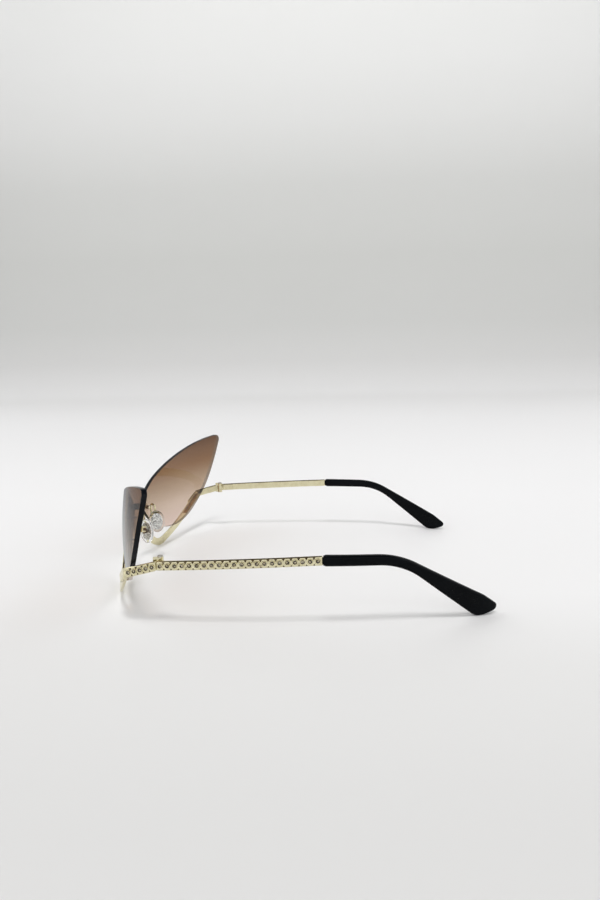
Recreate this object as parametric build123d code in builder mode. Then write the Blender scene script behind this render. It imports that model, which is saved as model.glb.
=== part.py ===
"""Rimless butterfly sunglasses: wing lenses, a stone-set gold front and temples, black tips.

Millimetres. +X is the wearer's left, the front faces -Y, the temples run back to +Y, +Z is up.
The origin is on the surface that the open glasses stand on, under the middle of their outline.
Every left piece is built at its place, and the right piece is its mirror image.
"""
import os
from math import cos, radians, sin, sqrt, tan

from build123d import *

os.makedirs("parts", exist_ok=True)

# Driving dimensions of the whole frame
hinge_above_rim = 4.27          # middle of the strip at the hinge slit, above the rim's end
temple_reach = 137.8            # from the hinge slit back to the end of the tip
trim_overrun = 3.0              # how far cutting shapes run past what they cut

# Lenses, outlined in a plane that is turned back by the wrap angle
lens_width = 74.4
lens_height = 47.8
lens_base_radius = 151.0        # front face
lens_thickness = 2.0
lens_wrap = 20.0                # degrees
lens_apex_inset_share = 0.585   # of the lens width: apex from the middle of the frame
hinge_outset_share = 0.348      # of the lens width: hinge slit outside the apex
corner_lead_share = 0.093       # of the lens width: apex ahead of the corner of the frame
wing_corner_radius = 3.4
nose_corner_radius = 2.2

# Lens outline as shares of its width and height from the apex: over the top from the nose
# to the wing corner, and back from there down the outer edge
lens_top_shares = [
    (-0.489, 0.150), (-0.391, 0.280), (-0.246, 0.388), (0.000, 0.519),
    (0.273, 0.626), (0.518, 0.674),
]
lens_lower_shares = [
    (0.518, 0.674), (0.505, 0.496), (0.460, 0.247), (0.384, 0.027), (0.283, -0.138),
    (0.126, -0.290), (-0.040, -0.335), (-0.202, -0.290), (-0.340, -0.180), (-0.440, -0.040),
    (-0.484, 0.060), (-0.489, 0.150),
]

# Lower rims: a flat ribbon bent round in front of each lens and leaning away from it
rim_height = 3.8
rim_thickness = 1.2
rim_lens_gap = 0.3              # filled by a washer at the nose and by the bond at the temple
rim_lean = 2.6                  # degrees: the ribbon's lower edge stands further forward
rim_lug_radius = 2.3
rim_low_share = 0.492           # of the lens height: lowest point of the ribbon's middle line
rim_path_shares = [
    (0.328, -0.104), (0.280, -0.150), (0.219, -0.222), (0.156, -0.289), (0.089, -0.352),
    (0.011, -0.413), (-0.081, -0.465), (-0.165, -0.492), (-0.249, -0.453), (-0.331, -0.345),
    (-0.397, -0.190), (-0.435, -0.059), (-0.446, 0.046),
]
bond_start_share = 0.15         # of the lens width: the bond runs from here to the ribbon's end

# Lens fastening at the nose: screw, nut and two clear washers for each lens
lens_screw_radius = 0.60
lens_hole_clearance = 0.10
lens_screw_head_radius = 1.15
lens_screw_head_height = 0.55
lens_washer_radius = 1.30
lens_nut_radius = 1.15
lens_nut_height = 1.0
screw_end_proud = 0.25
driver_slot_width = 0.3
driver_slot_depth = 0.25

# Bridge
bridge_thickness = 1.3
bridge_height = 3.4
bridge_arch = 2.4               # rise of its middle above its ends
bridge_bow = 1.6                # how far its middle stands ahead of its ends

# Endpieces: the strip that turns the corner from the rim to the hinge
strip_height = 4.0
endpiece_thickness = 1.3
endpiece_drop = 3.9             # its middle is this much lower at the corner than at the slit
endpiece_bow = 0.35             # how far its middle stands outside its ends
corner_setback = 15.4           # corner of the frame, ahead of the slit
corner_inset = 1.5              # corner of the frame, nearer the middle than the slit end
corner_fillet = 0.9
foot_thickness = 1.2

# Temples
temple_thickness = 1.4
temple_metal_length = 66.8
temple_spread = 0.5             # its rear end stands further out than its front end
temple_bow = 0.95               # how far its middle stands outside its ends
temple_rise = 2.2               # rear end of the metal above its front end
slit_gap = 0.2
core_height = 2.0
core_thickness = 1.2

# Temple tips: black sleeves over the cores
sleeve_height = 4.3
sleeve_start_thickness = 3.2
sleeve_end_thickness = 2.5
sleeve_tip_rounding = 0.9
sleeve_bore_clearance = 0.08
tip_half_span = 58.2            # middle of the tip's thickness at its end
tip_bow = 2.4                   # how far the tip's middle stands outside its ends

# Side view of the sleeve: corners as shares of its length and of its front top height, each
# with the radius that it is rounded to
sleeve_corners = [
    ((0.4155, 0.9845), "top_bend"), ((0.908, 0.310), "heel"), ((1.000, 0.125), "tip_top"),
    ((1.000, 0.035), "tip_bottom"), ((0.930, 0.000), "sole"), ((0.870, 0.000), "toe"),
    ((0.4394, 0.840), "lower_bend"),
]
sleeve_lower_front_share = 0.852
top_bend_radius = 33.0
lower_bend_radius = 27.0
heel_radius = 12.0
tip_top_radius = 1.4
tip_bottom_radius = 1.0
sole_radius = 6.0
toe_radius = 6.0
core_shares = [(0.000, 0.926), (0.430, 0.912), (0.721, 0.413)]
core_bend_radius = 30.0

# Stones and their cups
stone_radius = 0.80
stone_height = 0.85
stone_crown = 0.28              # width of the slope round the table
stone_pavilion = 0.45           # width of the slope round the culet
stone_facets = 8
cup_clearance = 0.05
cup_depth = 0.55
first_stone_distance = 1.6      # from the slit to the first stone's middle
temple_row_length = 63.0        # between the middles of the first and last stones
endpiece_row_length = 10.0
temple_stone_count = 22
endpiece_stone_count = 5

# Hinges: three knuckles on one screw
hinge_inset = 2.4               # screw's axis inside the middle of the strip
hinge_setback = 1.1             # screw's axis behind the slit
hinge_barrel_height = 5.4
hinge_barrel_lift = 0.3         # middle of the barrel above the middle of the strip
knuckle_radius = 1.3
knuckle_gap = 0.06
middle_knuckle_height = 2.0
hinge_leaf_length = 6.2
hinge_leaf_thickness = 0.7
hinge_leaf_height = 3.2
hinge_bracket_length = 1.6      # ahead of the slit
hinge_turning_gap = 0.15        # between a knuckle and what turns past it
hinge_screw_radius = 0.70
hinge_running_clearance = 0.05
hinge_head_radius = 1.05
hinge_head_height = 0.5

# Nose pads, each in its own plane that faces the nose
pad_pivot_out = 0.3             # pivot further out than the lug
pad_pivot_back = 7.4            # behind the lug
pad_pivot_below = 5.2           # below the lug
pad_splay = 24.0                # degrees
pad_flare = 12.0                # degrees
pad_width = 8.2
pad_length = 11.0
pad_thickness = 2.6
pad_drop = 2.0                  # pad's middle below its pivot
pad_offset = 1.6                # pad's back from its pivot
pad_edge_chamfer = 0.8
eye_radius = 1.05
eye_thickness = 1.5
eye_neck_width = 1.7
box_wall = 0.5
box_length = 2.9
box_side_clearance = 0.10
box_floor_clearance = 0.12
box_mouth_gap = 0.55            # between the box's mouth and the pad's back
pad_screw_radius = 0.45
pad_running_clearance = 0.05
pad_head_radius = 0.8
pad_head_height = 0.4

# Pad arms: wire from the back of the rim, over and down to the back of the pad's box
arm_radius = 0.55
arm_sides = 8
arm_bend_radius = 1.1
arm_seat_depth = 0.2            # flat where the wire is soldered on
arm_foot_shares = (-0.404, -0.168)
arm_top_shares = (-0.403, 0.075)
arm_lens_clearance = 0.5
arm_over_box = 5.4              # top bend above the pad's pivot

# Places worked out from the sizes above, first ahead of the hinge slit
wrap = radians(lens_wrap)
nose_x = rim_path_shares[-1][0] * lens_width
nose_y = rim_path_shares[-1][1] * lens_height
nose_rise = sqrt(lens_base_radius ** 2 - nose_x ** 2 - nose_y ** 2)
lens_inner_radius = lens_base_radius - lens_thickness
rim_inner_radius = lens_base_radius + rim_lens_gap
rim_outer_radius = rim_inner_radius + rim_thickness
rim_middle_radius = rim_inner_radius + rim_thickness / 2
foot_outer_radius = rim_outer_radius + foot_thickness
lug_share = rim_middle_radius / lens_base_radius
lens_apex_x = lens_apex_inset_share * lens_width
lens_apex_setback = corner_setback + corner_lead_share * lens_width
lens_apex_height = rim_low_share * lens_height + rim_height / 2
lug_lead = (nose_rise * lug_share - lens_base_radius) * cos(wrap) - nose_x * lug_share * sin(wrap)
bridge_reach = lens_apex_setback + lug_lead + bridge_bow + bridge_thickness / 2
hinge_half_span = lens_apex_x + hinge_outset_share * lens_width
hinge_height = lens_apex_height + rim_path_shares[0][1] * lens_height + hinge_above_rim
hinge_y = (bridge_reach - temple_reach) / 2
temple_rear_height = hinge_height + temple_rise
sleeve_top_height = temple_rear_height + sleeve_height / 2
temple_stone_gap = temple_row_length / (temple_stone_count - 1)
endpiece_stone_gap = endpiece_row_length / (endpiece_stone_count - 1)
band_depth = lens_width / 2
lens_plane = Plane(
    origin=(lens_apex_x, hinge_y - lens_apex_setback, lens_apex_height),
    x_dir=(cos(wrap), sin(wrap), 0),
    z_dir=(sin(wrap), -cos(wrap), 0),
)
lens_centre = lens_plane.from_local_coords((0, 0, -lens_base_radius))


def lens_points(shares):
    """Points of the lens plane from shares of the lens's width and height."""
    return [(x_share * lens_width, y_share * lens_height) for x_share, y_share in shares]


def lens_normal_plane(point, radius):
    """Plane square to the lens at a point of its front face, moved to a radius from its centre."""
    x, y = point
    rise = sqrt(lens_base_radius ** 2 - x ** 2 - y ** 2) - lens_base_radius
    outward = (lens_plane.from_local_coords((x, y, rise)) - lens_centre).normalized()
    return Plane(origin=lens_centre + outward * radius, x_dir=(0, 0, 1), z_dir=outward)


def write(piece, name):
    """Label a piece with its node's name and write it."""
    piece.part.label = name
    export_step(piece.part, f"parts/{name}.step")


def write_pair(left, name):
    """Write a left piece and its mirror image, each as its own node."""
    write(left, "left_" + name)
    with BuildPart() as right:
        mirror(left.part, about=Plane.YZ)
    write(right, "right_" + name)


def outside_planes(path, thickness, distances, height_at):
    """Planes on the outer face of a strip, at distances along its plan path."""
    planes = []
    for distance in distances:
        middle = path.position_at(distance / path.length)
        along = path.tangent_at(distance / path.length)
        outward = Vector(abs(along.Y), -along.X * along.Y / abs(along.Y), 0)
        face_point = middle + outward * (thickness / 2)
        origin = (face_point.X, face_point.Y, height_at(middle.Y))
        planes.append(Plane(origin=origin, x_dir=(0, 0, 1), z_dir=outward))
    return planes


def endpiece_middle(y):
    """Height of the endpiece's middle line."""
    return hinge_height + endpiece_drop * (y - hinge_y) / corner_setback


def temple_middle(y):
    """Height of the temple's middle line."""
    return hinge_height + temple_rise * (y - hinge_y) / temple_metal_length


rim_points = lens_points(rim_path_shares)
nose_point = rim_points[-1]
lens_hole_radius = lens_screw_radius + lens_hole_clearance
rim_axis_lean = tan(radians(rim_lean))
rim_axis_plane = Plane(
    origin=lens_plane.from_local_coords((0, nose_point[1], -lens_base_radius)),
    z_dir=(-sin(wrap) * rim_axis_lean, cos(wrap) * rim_axis_lean, 1),
)

# Front views of lens and ribbon, in the lens plane
with BuildSketch(lens_plane) as lens_outline:
    with BuildLine():
        Spline(*lens_points(lens_top_shares))
        Spline(*lens_points(lens_lower_shares))
    make_face()
    fillet(lens_outline.vertices().sort_by(Axis.X)[-1], radius=wing_corner_radius)
    fillet(lens_outline.vertices().sort_by(Axis.X)[0], radius=nose_corner_radius)
with BuildSketch(lens_plane) as rim_band:
    with BuildLine():
        Spline(*rim_points)
    trace(line_width=rim_height)

# Lens: a spherical shell cut to the wing outline
with BuildPart() as left_lens:
    extrude(lens_outline.sketch, amount=band_depth, both=True)
    with Locations(lens_centre):
        Sphere(lens_base_radius, mode=Mode.INTERSECT)
        Sphere(lens_inner_radius, mode=Mode.SUBTRACT)
    with Locations(lens_normal_plane(nose_point, lens_base_radius)):
        Hole(lens_hole_radius, depth=lens_thickness + trim_overrun)
write_pair(left_lens, "lens")

# Rim: the ribbon, with a flat lug for the lens screw at its nose end
with BuildPart() as left_rim:
    extrude(rim_band.sketch, amount=band_depth, both=True)
    with Locations(rim_axis_plane):
        Cylinder(rim_outer_radius, 4 * lens_height, mode=Mode.INTERSECT)
        Cylinder(rim_inner_radius, 4 * lens_height, mode=Mode.SUBTRACT)
    with Locations(lens_normal_plane(nose_point, rim_inner_radius)):
        Cylinder(rim_lug_radius, rim_thickness, align=(Align.CENTER, Align.CENTER, Align.MIN))
        Cylinder(
            rim_lug_radius, trim_overrun, mode=Mode.SUBTRACT,
            align=(Align.CENTER, Align.CENTER, Align.MAX),
        )
    with Locations(lens_normal_plane(nose_point, rim_outer_radius)):
        Cylinder(
            rim_lug_radius, trim_overrun, mode=Mode.SUBTRACT,
            align=(Align.CENTER, Align.CENTER, Align.MIN),
        )
        Hole(lens_hole_radius, depth=rim_thickness + trim_overrun)
write_pair(left_rim, "rim")

# Bond: fills the gap between lens and ribbon where they overlap at the temple side
with BuildPart() as left_lens_bond:
    extrude(lens_outline.sketch, amount=band_depth, both=True)
    extrude(rim_band.sketch, amount=band_depth, both=True, mode=Mode.INTERSECT)
    with Locations(rim_axis_plane):
        Cylinder(rim_inner_radius, 4 * lens_height, mode=Mode.INTERSECT)
    with Locations(lens_centre):
        Sphere(lens_base_radius, mode=Mode.SUBTRACT)
    with BuildSketch(lens_plane):
        with Locations((bond_start_share * lens_width, 0)):
            Rectangle(
                lens_width, 2 * lens_height, mode=Mode.ADD, align=(Align.MAX, Align.CENTER)
            )
    extrude(amount=band_depth, both=True, mode=Mode.SUBTRACT)
write_pair(left_lens_bond, "lens_bond")

# Lens screws, nuts and washers
slot_depth_plane = lens_normal_plane(nose_point, rim_outer_radius + lens_screw_head_height)
nut_top_radius = lens_inner_radius - rim_lens_gap - lens_nut_height
screw_length = rim_outer_radius - nut_top_radius + screw_end_proud
with BuildPart() as lens_screws:
    with Locations(lens_normal_plane(nose_point, rim_outer_radius)):
        Cylinder(
            lens_screw_head_radius, lens_screw_head_height,
            align=(Align.CENTER, Align.CENTER, Align.MIN),
        )
        Cylinder(
            lens_screw_radius, screw_length, align=(Align.CENTER, Align.CENTER, Align.MAX)
        )
    with Locations(slot_depth_plane):
        Box(
            driver_slot_width, 2 * lens_screw_head_radius, 2 * driver_slot_depth,
            mode=Mode.SUBTRACT,
        )
    mirror(about=Plane.YZ)
write(lens_screws, "lens_screws")
with BuildPart() as lens_nuts:
    with BuildSketch(lens_normal_plane(nose_point, nut_top_radius)):
        RegularPolygon(lens_nut_radius, 6)
        Circle(lens_screw_radius, mode=Mode.SUBTRACT)
    extrude(amount=lens_nut_height)
    mirror(about=Plane.YZ)
write(lens_nuts, "lens_nuts")
with BuildPart() as lens_washers:
    for washer_base in (lens_base_radius, lens_inner_radius - rim_lens_gap):
        with BuildSketch(lens_normal_plane(nose_point, washer_base)):
            Circle(lens_washer_radius)
            Circle(lens_hole_radius, mode=Mode.SUBTRACT)
        extrude(amount=rim_lens_gap)
    add(left_lens.part, mode=Mode.SUBTRACT)
    mirror(about=Plane.YZ)
write(lens_washers, "lens_washers")

# Bridge: an arched ribbon whose ends are cut to the rounds of the two lugs
lug_middle = lens_normal_plane(nose_point, rim_middle_radius).origin
bridge_middle_y = hinge_y - bridge_reach + bridge_thickness / 2
with BuildPart() as bridge:
    with BuildSketch(Plane.XY):
        with BuildLine():
            ThreePointArc(
                (-lug_middle.X, lug_middle.Y), (0, bridge_middle_y), (lug_middle.X, lug_middle.Y)
            )
        trace(line_width=bridge_thickness)
    extrude(amount=lens_height)
    with BuildSketch(Plane.XZ):
        with BuildLine():
            ThreePointArc(
                (-lug_middle.X, lug_middle.Z),
                (0, lug_middle.Z + bridge_arch),
                (lug_middle.X, lug_middle.Z),
            )
        trace(line_width=bridge_height)
    extrude(amount=temple_reach, both=True, mode=Mode.INTERSECT)
    for side in (1, -1):
        lug_plane = lens_normal_plane(nose_point, rim_inner_radius)
        lug_round = Plane(
            origin=(side * lug_plane.origin.X, lug_plane.origin.Y, lug_plane.origin.Z),
            z_dir=(side * lug_plane.z_dir.X, lug_plane.z_dir.Y, lug_plane.z_dir.Z),
        )
        with Locations(lug_round):
            Cylinder(rim_lug_radius, 4 * rim_thickness, mode=Mode.SUBTRACT)
    add(left_rim.part, mode=Mode.SUBTRACT)
    add(left_rim.part.mirror(Plane.YZ), mode=Mode.SUBTRACT)
write(bridge, "bridge")

# Cup: the pocket that a stone sits in
with BuildPart() as cup:
    with BuildSketch(Plane.XY.offset(-cup_depth)):
        RegularPolygon(stone_radius + cup_clearance, stone_facets)
    extrude(amount=2 * cup_depth)

# Endpiece: the strip beside the lens and its foot on the front of the rim
endpiece_path = ThreePointArc(
    (hinge_half_span, hinge_y - slit_gap / 2),
    (hinge_half_span - corner_inset / 2 + endpiece_bow, hinge_y - corner_setback / 2),
    (hinge_half_span - corner_inset, hinge_y - corner_setback),
)
corner_plane = outside_planes(
    endpiece_path, endpiece_thickness, [endpiece_path.length], endpiece_middle
)[0]
corner_point = lens_plane.to_local_coords(corner_plane.origin)
with BuildSketch(lens_plane) as foot_band:
    with BuildLine():
        Polyline(
            (corner_point.X + strip_height, corner_point.Y),
            rim_points[0],
            ((rim_points[1][0] + rim_points[2][0]) / 2, (rim_points[1][1] + rim_points[2][1]) / 2),
        )
    trace(line_width=strip_height)
with BuildSketch(Plane.YZ) as endpiece_side:
    with BuildLine():
        Line(
            (hinge_y + trim_overrun, endpiece_middle(hinge_y + trim_overrun)),
            (hinge_y - 2 * corner_setback, endpiece_middle(hinge_y - 2 * corner_setback)),
        )
    trace(line_width=strip_height)
with BuildPart() as left_endpiece:
    with BuildSketch(Plane.XY):
        with BuildLine():
            add(endpiece_path)
        trace(line_width=endpiece_thickness)
    extrude(amount=lens_height)
    extrude(endpiece_side.sketch, amount=temple_reach, both=True, mode=Mode.INTERSECT)
    with Locations(rim_axis_plane):
        Cylinder(foot_outer_radius, 4 * lens_height, mode=Mode.INTERSECT)
    with BuildPart(mode=Mode.PRIVATE) as left_foot:
        extrude(foot_band.sketch, amount=band_depth, both=True)
        with Locations(rim_axis_plane):
            Cylinder(foot_outer_radius, 4 * lens_height, mode=Mode.INTERSECT)
            Cylinder(rim_outer_radius, 4 * lens_height, mode=Mode.SUBTRACT)
        with Locations(corner_plane):
            Box(
                lens_height, lens_height, corner_setback, mode=Mode.SUBTRACT,
                align=(Align.CENTER, Align.CENTER, Align.MIN),
            )
    add(left_foot.part)
    corner_edge = left_endpiece.edges().filter_by(
        lambda edge: edge.length > strip_height / 2
    ).sort_by_distance(corner_plane.origin)[0]
    fillet(corner_edge, radius=corner_fillet)
    endpiece_stone_planes = outside_planes(
        endpiece_path, endpiece_thickness,
        [
            first_stone_distance + place * endpiece_stone_gap
            for place in range(endpiece_stone_count)
        ],
        endpiece_middle,
    )
    with Locations(*endpiece_stone_planes):
        add(cup.part, mode=Mode.SUBTRACT)
write_pair(left_endpiece, "endpiece")

# Temple: the strip, narrowed behind the metal's end to the core inside the sleeve
temple_end_span = hinge_half_span + temple_spread
temple_end_y = hinge_y + temple_metal_length
tip_end_y = hinge_y + temple_reach
temple_path = ThreePointArc(
    (hinge_half_span, hinge_y + slit_gap / 2),
    ((hinge_half_span + temple_end_span) / 2 + temple_bow, (hinge_y + temple_end_y) / 2),
    (temple_end_span, temple_end_y),
)
tip_path = ThreePointArc(
    (temple_end_span, temple_end_y),
    ((temple_end_span + tip_half_span) / 2 + tip_bow, (temple_end_y + tip_end_y) / 2),
    (tip_half_span, tip_end_y),
)


def sleeve_points(shares):
    """Points of the side view from shares of the sleeve's length and front top height."""
    length = temple_reach - temple_metal_length
    return [(temple_end_y + y * length, z * sleeve_top_height) for y, z in shares]


with BuildSketch(Plane.YZ) as temple_side:
    with BuildLine():
        Line(
            (hinge_y - trim_overrun, temple_middle(hinge_y - trim_overrun)),
            (temple_end_y + trim_overrun, temple_middle(temple_end_y + trim_overrun)),
        )
    trace(line_width=strip_height)
core_points = sleeve_points(core_shares)
core_front = (core_points[0][0] - trim_overrun, core_points[0][1])
with BuildPart() as left_temple:
    with BuildSketch(Plane.XY):
        with BuildLine():
            add(tip_path)
        trace(line_width=core_thickness)
    extrude(amount=lens_height)
    with BuildSketch(Plane.YZ):
        with BuildLine():
            FilletPolyline(core_front, *core_points, radius=core_bend_radius)
        trace(line_width=core_height)
    extrude(amount=temple_reach, both=True, mode=Mode.INTERSECT)
    with BuildPart(mode=Mode.PRIVATE) as temple_strip:
        with BuildSketch(Plane.XY):
            with BuildLine():
                add(temple_path)
            trace(line_width=temple_thickness)
        extrude(amount=lens_height)
        extrude(temple_side.sketch, amount=temple_reach, both=True, mode=Mode.INTERSECT)
        temple_stone_planes = outside_planes(
            temple_path, temple_thickness,
            [
                first_stone_distance + place * temple_stone_gap
                for place in range(temple_stone_count)
            ],
            temple_middle,
        )
        with Locations(*temple_stone_planes):
            add(cup.part, mode=Mode.SUBTRACT)
    add(temple_strip.part)
write_pair(left_temple, "temple")

# Tip sleeve: side view and plan view in one, with a bore for the core
sleeve_radii = {
    "top_bend": top_bend_radius, "lower_bend": lower_bend_radius, "heel": heel_radius,
    "tip_top": tip_top_radius, "tip_bottom": tip_bottom_radius, "sole": sole_radius,
    "toe": toe_radius,
}
with BuildPart() as left_tip_sleeve:
    with BuildSketch(Plane.YZ) as sleeve_side:
        with BuildLine():
            Polyline(
                (temple_end_y, sleeve_top_height),
                *sleeve_points([corner for corner, name in sleeve_corners]),
                *sleeve_points([(0, sleeve_lower_front_share)]),
                close=True,
            )
        make_face()
        for corner, name in sleeve_corners:
            place = sleeve_points([corner])[0]
            nearest = sleeve_side.vertices().sort_by_distance((*place, 0))[0]
            fillet(nearest, radius=sleeve_radii[name])
    extrude(amount=temple_reach)
    with BuildSketch(Plane.XY) as sleeve_plan:
        with BuildLine():
            outer_arc = ThreePointArc(
                tip_path @ 0 + (sleeve_start_thickness / 2, 0),
                tip_path @ 0.5 + ((sleeve_start_thickness + sleeve_end_thickness) / 4, 0),
                tip_path @ 1 + (sleeve_end_thickness / 2, 0),
            )
            inner_arc = ThreePointArc(
                tip_path @ 0 - (sleeve_start_thickness / 2, 0),
                tip_path @ 0.5 - ((sleeve_start_thickness + sleeve_end_thickness) / 4, 0),
                tip_path @ 1 - (sleeve_end_thickness / 2, 0),
            )
            Line(outer_arc @ 0, inner_arc @ 0)
            Line(outer_arc @ 1, inner_arc @ 1)
        make_face()
        fillet(sleeve_plan.vertices().group_by(Axis.Y)[-1], radius=sleeve_tip_rounding)
    extrude(amount=lens_height, mode=Mode.INTERSECT)
    with BuildPart(mode=Mode.PRIVATE) as bore:
        with BuildSketch(Plane.XY):
            with BuildLine():
                add(tip_path)
            trace(line_width=core_thickness + 2 * sleeve_bore_clearance)
        extrude(amount=lens_height)
        with BuildSketch(Plane.YZ):
            with BuildLine():
                FilletPolyline(core_front, *core_points, radius=core_bend_radius)
            trace(line_width=core_height + 2 * sleeve_bore_clearance)
        extrude(amount=temple_reach, both=True, mode=Mode.INTERSECT)
    add(bore.part, mode=Mode.SUBTRACT)
    add(left_temple.part, mode=Mode.SUBTRACT)
write_pair(left_tip_sleeve, "tip_sleeve")


# Stones: a table, a girdle and a culet with flat facets between them, one in each cup
with BuildPart() as stone:
    with BuildSketch(Plane.XY.offset(-cup_depth)):
        RegularPolygon(stone_radius, stone_facets)
    extrude(amount=stone_height)
    chamfer(stone.faces().sort_by(Axis.Z)[-1].edges(), length=stone_crown)
    chamfer(stone.faces().sort_by(Axis.Z)[0].edges(), length=stone_pavilion)
with BuildPart() as left_temple_stones:
    with Locations(*temple_stone_planes):
        add(stone.part)
write_pair(left_temple_stones, "temple_stones")
with BuildPart() as left_endpiece_stones:
    with Locations(*endpiece_stone_planes):
        add(stone.part)
write_pair(left_endpiece_stones, "endpiece_stones")

# Hinges: the front half has the outer two knuckles, the temple half has the middle one
barrel_plane = Plane(
    (hinge_half_span - hinge_inset, hinge_y + hinge_setback, hinge_height + hinge_barrel_lift)
)
turning_radius = knuckle_radius + hinge_turning_gap
front_leaf_shift = (endpiece_thickness + hinge_leaf_thickness) / 2
temple_leaf_shift = (temple_thickness + hinge_leaf_thickness) / 2


def leaf_arc(path, shift, first, last):
    """Arc on the inner face of a strip, between two distances along its path."""
    places = [first, (first + last) / 2, last]
    return [path.position_at(place / path.length) - (shift, 0) for place in places]


with BuildPart() as left_front_hinge:
    with BuildSketch(Plane.XY):
        with BuildLine():
            ThreePointArc(*leaf_arc(endpiece_path, front_leaf_shift, 0, hinge_leaf_length))
        trace(line_width=hinge_leaf_thickness)
    extrude(amount=lens_height)
    with BuildSketch(Plane.YZ):
        with BuildLine():
            Line(
                (hinge_y + trim_overrun, endpiece_middle(hinge_y + trim_overrun)),
                (hinge_y - 2 * corner_setback, endpiece_middle(hinge_y - 2 * corner_setback)),
            )
        trace(line_width=hinge_leaf_height)
    extrude(amount=temple_reach, both=True, mode=Mode.INTERSECT)
    with Locations(barrel_plane):
        Cylinder(knuckle_radius, hinge_barrel_height)
        with Locations((0, -hinge_setback - hinge_bracket_length, 0)):
            Box(
                knuckle_radius, hinge_setback + hinge_bracket_length, hinge_barrel_height,
                align=(Align.MIN, Align.MIN, Align.CENTER),
            )
        Cylinder(turning_radius, middle_knuckle_height + 2 * knuckle_gap, mode=Mode.SUBTRACT)
        Cylinder(
            hinge_screw_radius + hinge_running_clearance, hinge_barrel_height,
            mode=Mode.SUBTRACT,
        )
    add(left_endpiece.part, mode=Mode.SUBTRACT)
write_pair(left_front_hinge, "front_hinge")
with BuildPart() as left_temple_hinge:
    leaf_start = hinge_setback + turning_radius
    with BuildSketch(Plane.XY):
        with BuildLine():
            ThreePointArc(
                *leaf_arc(
                    temple_path, temple_leaf_shift, leaf_start, leaf_start + hinge_leaf_length
                )
            )
        trace(line_width=hinge_leaf_thickness)
    extrude(amount=lens_height)
    with BuildSketch(Plane.YZ):
        with BuildLine():
            Line(
                (hinge_y, temple_middle(hinge_y)),
                (temple_end_y, temple_middle(temple_end_y)),
            )
        trace(line_width=hinge_leaf_height)
    extrude(amount=temple_reach, both=True, mode=Mode.INTERSECT)
    with Locations(barrel_plane):
        Cylinder(knuckle_radius, middle_knuckle_height)
        Box(
            knuckle_radius, turning_radius + hinge_leaf_thickness, middle_knuckle_height,
            align=(Align.MIN, Align.MIN, Align.CENTER),
        )
        Cylinder(
            hinge_screw_radius + hinge_running_clearance, hinge_barrel_height,
            mode=Mode.SUBTRACT,
        )
    add(left_temple.part, mode=Mode.SUBTRACT)
write_pair(left_temple_hinge, "temple_hinge")
with BuildPart() as left_hinge_screw:
    with Locations(barrel_plane.offset(hinge_barrel_height / 2)):
        Cylinder(
            hinge_screw_radius, hinge_barrel_height, align=(Align.CENTER, Align.CENTER, Align.MAX)
        )
        Cylinder(
            hinge_head_radius, hinge_head_height, align=(Align.CENTER, Align.CENTER, Align.MIN)
        )
    with Locations(barrel_plane.offset(hinge_barrel_height / 2 + hinge_head_height)):
        Box(
            driver_slot_width, 2 * hinge_head_radius, 2 * driver_slot_depth, mode=Mode.SUBTRACT
        )
write_pair(left_hinge_screw, "hinge_screw")

# Nose pads: clear pad with an eye on its back that rocks on a screw in a small box
splay = radians(pad_splay)
flare = radians(pad_flare)
pad_plane = Plane(
    origin=lug_middle + (pad_pivot_out, pad_pivot_back, -pad_pivot_below),
    x_dir=(-sin(splay), -cos(splay), 0),
    z_dir=(-cos(flare) * cos(splay), cos(flare) * sin(splay), -sin(flare)),
)
screw_plane = Plane(origin=pad_plane.origin, x_dir=pad_plane.y_dir, z_dir=pad_plane.x_dir)
box_floor = eye_radius + box_floor_clearance
box_mouth = pad_offset - box_mouth_gap
box_inner_width = eye_thickness + 2 * box_side_clearance
box_outer_width = box_inner_width + 2 * box_wall
with BuildPart() as left_nose_pad:
    with BuildSketch(pad_plane.offset(pad_offset)):
        with Locations((0, -pad_drop)):
            Ellipse(pad_width / 2, pad_length / 2)
    extrude(amount=pad_thickness)
    chamfer(left_nose_pad.edges(), length=pad_edge_chamfer)
    with BuildSketch(screw_plane):
        Circle(eye_radius)
        Rectangle(
            eye_neck_width, pad_offset + pad_edge_chamfer, align=(Align.CENTER, Align.MIN)
        )
        Circle(pad_screw_radius + pad_running_clearance, mode=Mode.SUBTRACT)
    extrude(amount=eye_thickness / 2, both=True)
write_pair(left_nose_pad, "nose_pad")
with BuildPart() as left_pad_box:
    with BuildSketch(screw_plane):
        with Locations((0, -box_floor - box_wall)):
            Rectangle(
                box_length, box_floor + box_wall + box_mouth, align=(Align.CENTER, Align.MIN)
            )
    extrude(amount=box_outer_width / 2, both=True)
    with BuildSketch(screw_plane):
        with Locations((0, -box_floor)):
            Rectangle(
                2 * box_length, box_floor + 2 * box_mouth, align=(Align.CENTER, Align.MIN)
            )
    extrude(amount=box_inner_width / 2, both=True, mode=Mode.SUBTRACT)
    with BuildSketch(screw_plane):
        Circle(pad_screw_radius + pad_running_clearance)
    extrude(amount=box_outer_width, both=True, mode=Mode.SUBTRACT)
write_pair(left_pad_box, "pad_box")
with BuildPart() as left_pad_screw:
    with Locations(screw_plane):
        Cylinder(pad_screw_radius, box_outer_width)
    with Locations(screw_plane.offset(-box_outer_width / 2)):
        Cylinder(pad_head_radius, pad_head_height, align=(Align.CENTER, Align.CENTER, Align.MAX))
    with Locations(screw_plane.offset(-box_outer_width / 2 - pad_head_height)):
        Box(driver_slot_width, 2 * pad_head_radius, driver_slot_depth, mode=Mode.SUBTRACT)
write_pair(left_pad_screw, "pad_screw")

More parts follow.
